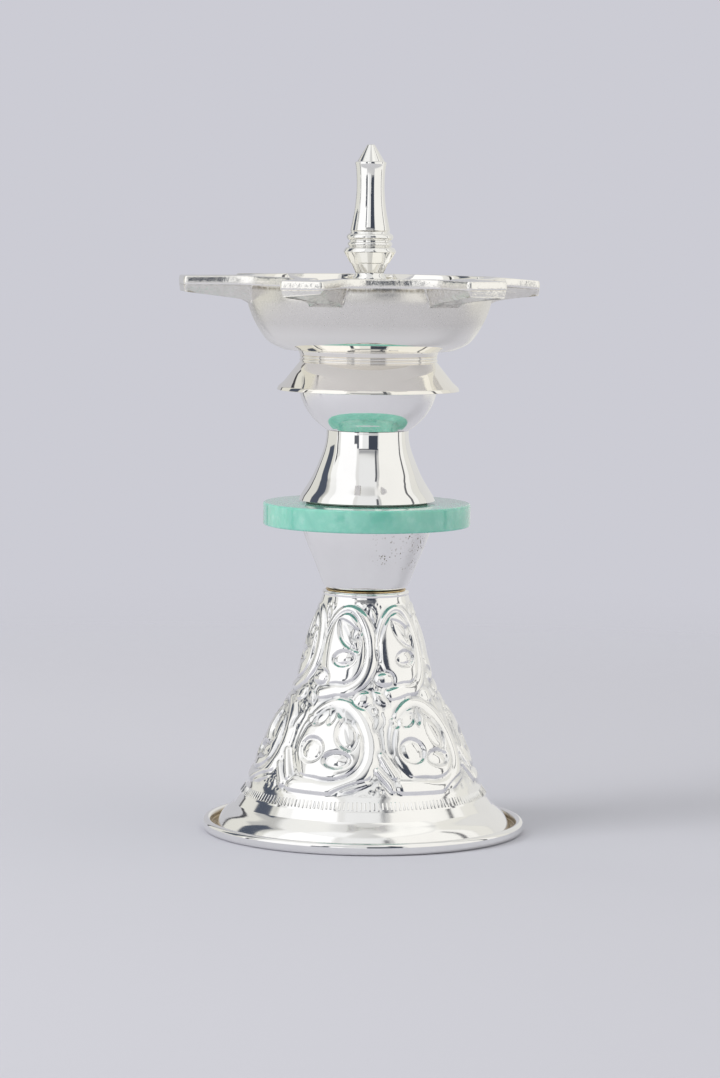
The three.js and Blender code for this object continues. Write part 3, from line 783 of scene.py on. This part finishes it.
buds = [
    # middle, half width, half height, tilt, height
    ((1.2, 43.4), 2.5, 1.75, 12, 0.52),
    ((-21.5, 38.6), 2.35, 1.75, 8, 0.60),
    ((-10.5, 21.6), 2.85, 2.75, 0, 0.60),
    ((6.3, 19.5), 3.05, 1.75, 0, 0.48),
    ((-18.5, 28.6), 0.9, 1.2, 30, 0.3),
    ((12.5, 49.6), 0.9, 1.3, -30, 0.3),
]
fingers = [
    # from, to, half width, height
    ((31.0, 21.0), (38.6, 14.8), 1.00, 0.70),
    ((27.6, 17.6), (36.0, 13.0), 0.90, 0.66),
]
chased = {"groove": 0.18, "grooveWidth": 0.34, "lineWidth": 0.28, "coverWidth": 0.24, "darkAt": 0.3,
          "groundWidth": 0.6}
fuller = {"leaf": 1.2, "leafWidth": 1.25, "bud": 1.25, "finger": 1.25, "fingerTip": 1.3}


def chart(bearing, height, skin):
    radius = np.interp(height, skin[:, 1], skin[:, 0])
    return np.stack([np.radians(bearing) * radius, np.asarray(height) * stretch], axis=-1)


def alongDistance(p, a, b, widthA=0, widthB=0):
    line = b - a
    part = np.clip(((p - a) @ line) / (line @ line), 0, 1)
    gap = np.linalg.norm(p - a - part[..., None] * line, axis=-1)
    return gap - (widthA + (widthB - widthA) * part)


def strip(p, line, widths):
    found = np.full(p.shape[:-1], 1e3)
    for i in range(len(line) - 1):
        found = np.minimum(found, alongDistance(p, line[i], line[i + 1], widths[i], widths[i + 1]))
    return found


def almond(p, a, b, width):
    middle, half = (a + b) / 2, np.linalg.norm(b - a) / 2
    side = np.array([-(b - a)[1], (b - a)[0]]) / (2 * half)
    radius = (half ** 2 + width ** 2) / (2 * width)
    one = np.linalg.norm(p - middle - side * (radius - width), axis=-1) - radius
    two = np.linalg.norm(p - middle + side * (radius - width), axis=-1) - radius
    return np.maximum(one, two)


def oval(p, middle, wide, tall, tilt):
    c, s = math.cos(math.radians(tilt)), math.sin(math.radians(tilt))
    away = p - middle
    x = (away[..., 0] * c + away[..., 1] * s) / wide
    y = (away[..., 1] * c - away[..., 0] * s) / tall
    return (np.hypot(x, y) - 1) * min(wide, tall)


def raiseForm(field, distance, height, shoulder, groove=chased["groove"]):
    inside = np.clip(-distance / shoulder, 0, 1)
    dome = height * inside * (2 - inside)
    cover = np.clip(0.5 - distance / chased["coverWidth"], 0, 1)
    line = groove * np.exp(-(distance / chased["grooveWidth"]) ** 2)
    field["relief"] = field["relief"] * (1 - cover) + dome * cover - line
    # recess holds the painted shade along the chased line
    field["recess"] = np.maximum(field["recess"] * (1 - cover), line / chased["darkAt"])
    field["ground"] = np.minimum(field["ground"], np.clip(distance / chased["groundWidth"], 0, 1))


def chase(field, p, a, b, depth):
    line = depth * np.exp(-(alongDistance(p, a, b) / chased["lineWidth"]) ** 2)
    field["relief"] -= line
    # the chased line takes painted shade through recess
    field["recess"] = np.maximum(field["recess"], line / chased["darkAt"])


def smoothed(values):
    values = (np.roll(values, 1, axis=1) + 2 * values + np.roll(values, -1, axis=1)) / 4
    padded = np.vstack([values[:1], values, values[-1:]])
    return (padded[:-2] + 2 * padded[1:-1] + padded[2:]) / 4


def drawScroll(field, p, skin, middle, across, up, tail, start, sweep, thick, thin, height, pillow, groove):
    u, z = middle
    away = p - chart(u, z, skin)
    wide = math.radians(across) * np.interp(z, skin[:, 1], skin[:, 0])
    inside = np.hypot(away[..., 0] / wide, away[..., 1] / (up * stretch))
    field["relief"] += pillow * np.sqrt(np.maximum(1 - np.clip(inside, 0, 1) ** 2, 0)) * (inside < 1)
    field["ground"] = np.minimum(field["ground"], np.clip((inside - 1) * 4, 0.08, 1))
    turns = np.radians(np.linspace(start, start + sweep, 40))
    bearings = np.concatenate([[tail[0]], u + across * np.cos(turns)])
    heights = np.concatenate([[tail[1]], z + up * np.sin(turns)])
    line = chart(bearings, heights, skin)
    widths = thick + (thin - thick) * np.clip(np.linspace(-0.55, 1, len(line)), 0, 1)
    raiseForm(field, strip(p, line, widths), height, thick, groove)


# each form sits a little off its place, as by hand, and stands fuller than its table says
def drawUnit(field, p, skin, random):
    def at(point):
        wobble = random.uniform(-0.5, 0.5), random.uniform(-0.2, 0.2)
        return chart(point[0] + wobble[0], point[1] + wobble[1], skin)
    for scroll in scrolls.values():
        drawScroll(field, p, skin, **scroll)
    for start, end, width, height in leaves:
        a, b, width = at(start), at(end), width * fuller["leafWidth"]
        raiseForm(field, almond(p, a, b, width), height * fuller["leaf"], width)
        chase(field, p, a + (b - a) * 0.22, a + (b - a) * 0.72, 0.16 * min(width, 1))
    for middle, wide, tall, tilt, height in buds:
        centre = at(middle)
        raiseForm(field, oval(p, centre, wide * 1.1, tall * 1.1, tilt), height * fuller["bud"], min(wide, tall))
        curl = oval(p, centre + np.array([0.15, 0.1]), wide * 0.52, tall * 0.5, tilt)
        field["relief"] -= 0.10 * np.exp(-(curl / 0.2) ** 2)
    for start, end, width, height in fingers:
        tip = width * fuller["fingerTip"]
        raiseForm(field, strip(p, np.array([at(start), at(end)]), [width, tip]), height * fuller["finger"], tip)


# small punch marks over the ground between the forms
def punch(field, s, body, columns, random):
    bearings = random.uniform(0, 360, s.dots)
    heights = random.uniform(s.reliefFrom, s.reliefTo, s.dots)
    for u, z in zip(bearings, heights):
        row = int(np.argmin(np.abs(body[:, 1] - z)))
        rows = np.arange(max(row - 3, 0), min(row + 4, len(body)))
        cols = np.arange(-3, 4) + int(u / 360 * s.columns)
        cols = cols % s.columns
        aside = np.radians((columns[cols] - u + 180) % 360 - 180) * body[row, 0]
        gap = np.hypot(aside[None, :], (body[rows, 1] - z)[:, None] * stretch)
        near = np.ix_(rows, cols)
        dent = s.dotDepth * np.exp(-(gap / s.dotSize) ** 2) * field["ground"][near] ** 2
        field["relief"][near] -= dent
        # the dents take painted shade too
        field["recess"][near] = np.maximum(field["recess"][near], dent * 2.5)


def coneSkin(s):
    start, end = np.array(s.band)
    body = np.array(curveThrough(s.body, 400))
    rows = np.linspace(s.body[0][1], s.body[-1][1], s.bodyRows)
    lip = s.lip * np.exp(-((rows - s.lipAt) / s.lipWidth) ** 2)
    upper = np.stack([np.interp(rows, body[:, 1], body[:, 0]) + lip, rows], axis=1)
    return np.vstack([curveThrough(s.skirt, 16), start, (start + end) / 2, end, upper])


def makeCone(s):
    skin = coneSkin(s)
    body = skin[skin[:, 1] >= s.reliefFrom - 1e-6]
    columns = np.arange(s.columns) * 360 / s.columns
    random = np.random.default_rng(s.seed)
    flat = np.zeros((len(body), s.columns))
    work = {"relief": flat, "ground": flat + 1, "recess": flat.copy()}
    for unit in range(s.units):
        centre = s.firstUnit + unit * 360 / s.units
        away = (columns - centre + 180) % 360 - 180
        near = np.abs(away) < s.unitReach
        field = {key: value[:, near] for key, value in work.items()}
        drawUnit(field, chart(*np.meshgrid(away[near], body[:, 1]), body), body, random)
        for key in work:
            work[key][:, near] = field[key]
    work["relief"] = smoothed(work["relief"])
    punch(work, s, body, columns, random)
    work["recess"] = smoothed(work["recess"])
    low, high = s.reliefFrom + s.fadeStart, s.reliefTo
    fade = share(body[:, 1], low, low + s.fade) * share(body[:, 1], high, high - s.fade)
    wall, hole, top = sheetMetal["wall"], sheetMetal["hole"], skin[-1, 1]
    inner = innerSkin(skin[::4], wall, 0, top - wall)
    rings = np.vstack([skin, [(hole, top), (hole, top - wall)], inner[::-1]])
    first, rest = len(skin) - len(body), len(rings) - len(skin)
    relief, ground, recess = (np.pad(work[key] * fade[:, None], ((first, rest), (0, 0)))
                              for key in ("relief", "ground", "recess"))
    slope = np.pad(unitRows(np.gradient(skin, axis=0)), ((0, rest), (0, 0)))
    radii, ups = rings[:, :1] + relief * slope[:, 1:], rings[:, 1:] - relief * slope[:, :1]
    bearing = np.radians(columns)
    points = np.stack([radii * np.sin(bearing), -radii * np.cos(bearing), ups], axis=2) * mm
    # recess goes onto the sheet as the mask of painted shade
    loft("base_cone_embossed", points + [0, 0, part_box("base_cone")[0].z], {"stipple": ground, "recessShade": recess},
         "embossed", "base_cone", "stand", 50)


makeCone(Named(**cone))


# hatched border: small upright ribs round the band

hatching = {"count": 178, "radius": 30.4, "height": 9.2, "ribWidth": 0.42, "ribHeight": 2.3, "ribDepth": 0.14,
            "lean": 35.8, "crown": (0.5, 0.45, 0.86), "seed": 4,
            "least": (0.9, 0.75, 0.86), "most": (1.1, 1.25, 1.04)}


def hatchTree(s):
    given = {"Rib": "Geometry", "Count": 10, "Radius": 0.03, "Height": 0.01, "Lean": 0.6, "Finish": "Material"}
    tree, given, result = newGroup("hatchedBorder", "GeometryNodeTree", given, {"Piece": "Geometry"})
    ring = addNode(tree, "GeometryNodeMeshCircle", {"Vertices": given["Count"], "Radius": given["Radius"]})[0]
    lift = {"Geometry": ring, "Offset": xyz(tree, Z=given["Height"])}
    raised = addNode(tree, "GeometryNodeSetPosition", lift)[0]
    index = addNode(tree, "GeometryNodeInputIndex")[0]
    angle = times(tree, over(tree, index, given["Count"]), 2 * math.pi)
    facing = xyz(tree, Y=times(tree, given["Lean"], -1), Z=angle)
    sizes = addNode(tree, "FunctionNodeRandomValue", {"Min": s.least, "Max": s.most, "Seed": s.seed},
                    data_type="FLOAT_VECTOR")[0]
    copies = {"Points": raised, "Instance": given["Rib"], "Rotation": facing, "Scale": sizes}
    return endGroup(tree, given, result, addNode(tree, "GeometryNodeInstanceOnPoints", copies)[0])


def makeHatching(s):
    deep, wide, tall = s.ribDepth * mm, s.ribWidth / 2 * mm, s.ribHeight / 2 * mm
    points, faces = [], [(3, 2, 1, 0), (8, 9, 10, 11)]
    out, narrow, short = s.crown
    for x, w, t in ((-deep, wide, tall), (0, wide, tall), (deep * out, wide * narrow, tall * short)):
        points += [(x, -w, -t), (x, w, -t), (x, w, t), (x, -w, t)]
    for low in (0, 4):
        faces += [(low + i, low + (i + 1) % 4, low + 4 + (i + 1) % 4, low + 4 + i) for i in range(4)]
    piece = newPiece("base_cone_hatching", points, faces=faces)
    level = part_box("base_cone")[0].z + s.height * mm
    grow(piece, hatchTree(s), {"Count": s.count, "Radius": s.radius * mm, "Height": level,
                               "Lean": math.radians(s.lean), "Finish": finishes["polished"]})
    settle(piece, "stand")


makeHatching(Named(**hatching))
print("embossed foot made")


# bowl: one skin lofted from the foot, over the keels and the spouted rim and down into the oil

bowl = {
    "height": 18.25, "wall": 1.6, "floor": 1.7, "hole": 2.35,
    "spigot": 15.25, "spigotDepth": 1.6, "spigotWall": 2.0,
    "skin": [(21.4, 0), (25.4, 2.1), (28.7, 7.1), (30.45, 12.0), (30.75, 16.05)], "rim": 31.2,
    "spouts": [
        # bearing, reach, droop, width, height of the end, slant of its lower edge
        (-81, 47.2, 0.1, 12.2, 3.9, 0.0), (-20.3, 47.3, 0.4, 11.4, 3.4, 0.55),
        (37.3, 47.3, 0.1, 12.2, 3.9, -0.25), (106, 43.1, 0.9, 12.2, 3.7, 0.0),
        (162, 46.3, 0.4, 12.2, 3.6, 0.2), (220, 46.8, 0.4, 12.2, 3.6, -0.2),
    ],
    "fillet": 10, "corner": 1.1, "flat": 2.0, "band": 2.2, "bulge": 0.13, "edge": 0.32, "crease": 0.22,
    "keel": 6.05, "keelRun": 6.0, "keelRise": 0.95, "flank": 1.5, "endFlank": 0.35,
    "blend": 2.6, "blendDepth": 0.9,
    "wickRadius": 3.2, "wickDepth": 1.7, "wickStop": 4.0, "spacing": 0.40,
    "underRows": 30, "keelRows": 16, "deckRows": 24, "wallRows": 14,
}


# x, y of the edge and of the keel, the way out, on the keel, on its end
def halfSpout(s, reach, width):
    half, skinRadius, fillet, corner, spacing = width / 2, s.skin[-1][0], s.fillet, s.corner, s.spacing
    across = half + fillet
    along = math.sqrt((s.rim + fillet) ** 2 - across ** 2)
    sweep = math.degrees(math.atan2(along, across))
    rimAngle, keelAngle = math.atan2(across, along), math.asin(half / skinRadius)
    keelStart = skinRadius * math.cos(keelAngle)
    arc, straight = skinRadius * (rimAngle - keelAngle), along - keelStart
    rows = []
    for t in np.linspace(0, 1, int(fillet * math.radians(sweep) / spacing)):
        angle = math.radians(-90 - sweep * (1 - t))
        edge = (along + fillet * math.cos(angle), across + fillet * math.sin(angle))
        gone = t * (arc + straight)
        if gone < arc:
            at = rimAngle - gone / skinRadius
            c, w = math.cos(at), math.sin(at)
            rows.append((*edge, skinRadius * c, skinRadius * w, c, w, 0, 0))
        else:
            rows.append((*edge, keelStart + gone - arc, half, 0, 1, 1, 0))
    for x in np.linspace(along, reach - corner, max(3, int((reach - corner - along) / spacing)))[1:]:
        rows.append((x, half, x, half, 0, 1, 1, 0))
    for angle in np.radians(np.linspace(90, 0, 9))[1:]:
        c, w = math.cos(angle), math.sin(angle)
        x, y = reach - corner + corner * c, half - corner + corner * w
        rows.append((x, y, x, y, c, w, 1, c ** 2))
    for y in np.linspace(half - corner, 0, int((half - corner) / spacing))[1:]:
        rows.append((reach, y, reach, y, 1, 0, 1, 1))
    return np.array(rows)


def unitAt(angle):
    return np.stack([np.cos(angle), np.sin(angle)], axis=1)


def rotated(p, angle):
    c, w = math.cos(angle), math.sin(angle)
    return np.stack([p[:, 0] * c - p[:, 1] * w, p[:, 0] * w + p[:, 1] * c], axis=1)


# halfSpout's columns, then the angle at the skin's root, the top and the keel's lower edge
def bowlColumns(s):
    rim, height, run = s.rim, s.height, s.rim + s.keelRun
    shapes = [halfSpout(s, spout[1], spout[3]) for spout in s.spouts]
    parts = []
    for i, (bearing, reach, droop, width, tall, slant) in enumerate(s.spouts):
        left = shapes[i]
        rows = np.vstack([left * [1, -1, 1, -1, 1, -1, 1, 1], left[::-1][1:]])
        keelX, keelY = rows[:, 2], rows[:, 3]
        edge = math.asin((width / 2 - s.flank) / s.skin[-2][0])
        angle = np.arctan2(keelY, keelX)
        start, end = np.flatnonzero(rows[:, 6])[[0, -1]]
        root = np.interp(angle, angle[[0, start, end, -1]], [angle[0], -edge, edge, angle[-1]])
        root[start:end + 1] = np.linspace(-edge, edge, end - start + 1)
        top = height - droop * share(rows[:, 0], rim + s.flat, reach + s.corner)
        tipLow = height - droop - tall + slant * keelY / (width / 2)
        toTip = share(keelX, run, reach)
        rise = share(keelX, rim, run) * s.keelRise
        keelLow = (height - s.keel + rise) * (1 - toTip) + tipLow * toTip
        turnBy = math.radians(bearing - 90)
        places = [rotated(rows[:, k:k + 2], turnBy) for k in (0, 2, 4)]
        parts.append(np.column_stack(places + [rows[:, 6:], root + turnBy, top, keelLow]))
        after = (i + 1) % len(shapes)
        following = s.spouts[after][0] + (360 if after == 0 else 0)
        nextAngle = math.radians(following - 90) + math.atan2(-shapes[after][0, 3], shapes[after][0, 2])
        lastAngle = turnBy + angle[-1]
        steps = max(4, int((nextAngle - lastAngle) * rim / s.spacing))
        between = np.linspace(lastAngle, nextAngle, steps)[1:-1]
        out, zero = unitAt(between), 0 * between
        ring = [out * rim, out * s.skin[-1][0], out, zero, zero, between, zero + height, zero]
        parts.append(np.column_stack(ring))
    return np.vstack(parts)


# the round-bottomed channel that each wick lies in
def wickHeight(s, p):
    radius = s.wickRadius
    height = np.full(len(p), 1e3)
    start = s.rim - 2 * s.wall
    for bearing, reach, *others in s.spouts:
        x, y = rotated(p, -math.radians(bearing - 90)).T
        depth = s.wickDepth * (1 - (x - start) / (reach - s.wickStop - start))
        below = s.height + radius - depth - np.sqrt(np.maximum(radius ** 2 - y ** 2, 0))
        inside = (x > 0) & (np.abs(y) < radius) & (depth > 0)
        height = np.where(inside, np.minimum(height, below), height)
    return height


def makeBowl(s):
    height, band, edge, bulge, floor, hole = s.height, s.band, s.edge, s.bulge, s.floor, s.hole
    cols = bowlColumns(s)
    outline, side, out = cols[:, :2], cols[:, 2:4], cols[:, 4:6]
    isKeel, isEnd, root, top, keelLow = cols[:, 6:].T
    keel, whole = isKeel > 0, np.ones(len(cols))
    along = np.roll(outline, -1, axis=0) - np.roll(outline, 1, axis=0)
    normals = unitRows(along[:, ::-1] * [1, -1])
    rootUnit = unitAt(root)
    sideAngle = np.unwrap(np.arctan2(side[:, 1], side[:, 0]))
    root = root + 2 * math.pi * np.round((sideAngle - root) / (2 * math.pi))
    skin = np.array(curveThrough(s.skin, 160))
    rings, marks = [], []

    # dull marks satin roughness and the painted shade of the skin and keels
    def add(p, z, rough=0.0, dark=0.0, dullAndShade=0.0):
        rings.append(np.column_stack([p, z * whole]))
        marks.append(np.stack([rough * whole, dark * whole, dullAndShade * whole]))

    def skinAt(z):
        return np.interp(z, skin[:, 1], skin[:, 0])

    # spigot and the plain skin up to the keels
    spigot, depth = s.spigot, s.spigotDepth
    spigotIn = spigot - s.spigotWall
    for radius, z in ((hole, 0), (8, 0), (spigotIn, 0), (spigotIn, -depth), (spigot - 0.1, -depth),
                      (spigot, -depth + 0.1), (spigot, 0)):
        add(rootUnit * radius, z)
    bandLow, keelTop = height - band, height - s.keel
    rootZ = keelTop - s.blendDepth
    for z in rootZ * np.linspace(0, 1, s.underRows) ** 1.2:
        add(rootUnit * skinAt(z), z, np.clip((z - 8) / 6, 0, 0.02), 0, share(z, 4, 7))

    # keels and their flanks, with plain skin between them
    flank = s.flank * (1 - isEnd) + s.endFlank * isEnd
    creased = s.crease * (1 - 0.75 * isEnd)
    low, rootPoint = side - out * flank[:, None], rootUnit * skinAt(rootZ)
    slope = (keelLow - keelTop) / np.maximum(np.linalg.norm(low - rootPoint, axis=1), 0.5)
    for u in np.arange(1, s.keelRows + 1) / s.keelRows:
        plainZ = rootZ + (bandLow - rootZ) * u ** 0.8
        plain = unitAt(root + (sideAngle - root) * u) * skinAt(plainZ)
        if u <= 0.5:
            p = low + (rootPoint - low) * (1 - u / 0.5)
            gap = np.linalg.norm(p - rootPoint, axis=1)
            z = keelTop + slope * gap - s.blendDepth * np.clip(1 - gap / s.blend, 0, 1) ** 2
        else:
            f = (u - 0.5) / 0.5
            p = side - out * (flank * (1 - f) + creased * f + 0.10 * np.sin(f * math.pi) * (isEnd - 1))[:, None]
            z = keelLow + (top - band - 0.08 - keelLow) * f
        reach = np.linalg.norm(p, axis=1)
        p = p / reach[:, None] * np.maximum(reach, skinAt(np.clip(z, 0, bandLow)))[:, None]
        # darker brown just under the rim band; the keels darken too, most at their crease under the band
        darkUnderBand = share(plainZ, bandLow - 1.3, bandLow - 0.6) * share(plainZ, bandLow - 0.15, bandLow - 0.45)
        add(np.where(keel[:, None], p, plain), np.where(keel, z, plainZ),
            np.where(keel, 1.0 - 0.6 * isEnd * (u > 0.5), 0.06 + 0.2 * darkUnderBand),
            np.where(keel, 0.15, darkUnderBand), 1 - isKeel * (0.5 + 0.5 * isEnd))
    add(np.where(keel[:, None], side - out * creased[:, None], side), top - band, 0.4, 0.8)

    # rim band, its rounded upper edge, and the flat top with the wick channels
    for t in (0, 0.12, 0.3, 0.5, 0.7, 0.9):
        inward = bulge * (2 * t - 1) ** 2 + (0.08 if t == 0 else 0)
        add(outline - normals * inward, top - band + (band - edge) * t, 0.42 - 0.1 * isEnd)
    for angle in np.radians([25, 50, 70, 90]):
        p = outline - normals * (bulge * 0.8 + edge * (1 - math.cos(angle)))
        add(p, top - edge * (1 - math.sin(angle)), 0.4)
    cavity = np.array([(r - s.wall, z) for r, z in skin if z > floor + 0.6])
    mouth = cavity[-1, 0]
    unit = unitAt(np.arctan2(outline[:, 1], outline[:, 0]))
    edgeRing, mouthRing = outline - normals * (bulge + edge), unit * (mouth + 0.35)
    for f in np.linspace(0, 1, s.deckRows)[1:]:
        p = edgeRing + (mouthRing - edgeRing) * f
        deck = np.minimum(top + (height - top) * f, wickHeight(s, p))
        add(p, deck, 0.25)

    # down into the oil
    add(unit * (mouth + 0.1), deck - 0.1)
    add(unit * mouth, deck - 0.35)
    for z in np.linspace(deck.min() - 0.8, floor + 1.2, s.wallRows):
        lowest = float(np.interp(z, cavity[:, 1], cavity[:, 0]))
        add(unit * lowest, z)
    for radius, z in ((lowest - 0.9, floor + 0.35), (lowest - 2.2, floor), (12, floor), (hole, floor)):
        add(unit * radius, z)
    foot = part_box("bowl")[0].z + depth * mm
    # masks: cast grain, the brown darkening under the band, and satin roughness with painted shade
    masks = dict(zip(("cast", "underBandDark", "satinAndShade"), np.array(marks).transpose(1, 0, 2)))
    loft("bowl_cast", np.array(rings) * mm + [0, 0, foot], masks, "cast", "bowl", "bowl", 34)


makeBowl(Named(**bowl))
print("bowl made")


# inner pieces keep their own shape and get a finish

innerFinishes = {
    "tie_rod": "brass", "lower_washer": "steel", "lower_nut": "steel", "stem_washer": "steel",
    "stem_nut": "steel", "lower_cushion": "felt", "upper_cushion": "felt", "seal_washer": "rubber",
}
for node, finish in innerFinishes.items():
    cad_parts[node].data.materials.clear()
    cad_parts[node].data.materials.append(finishes[finish])
print("inner pieces finished")
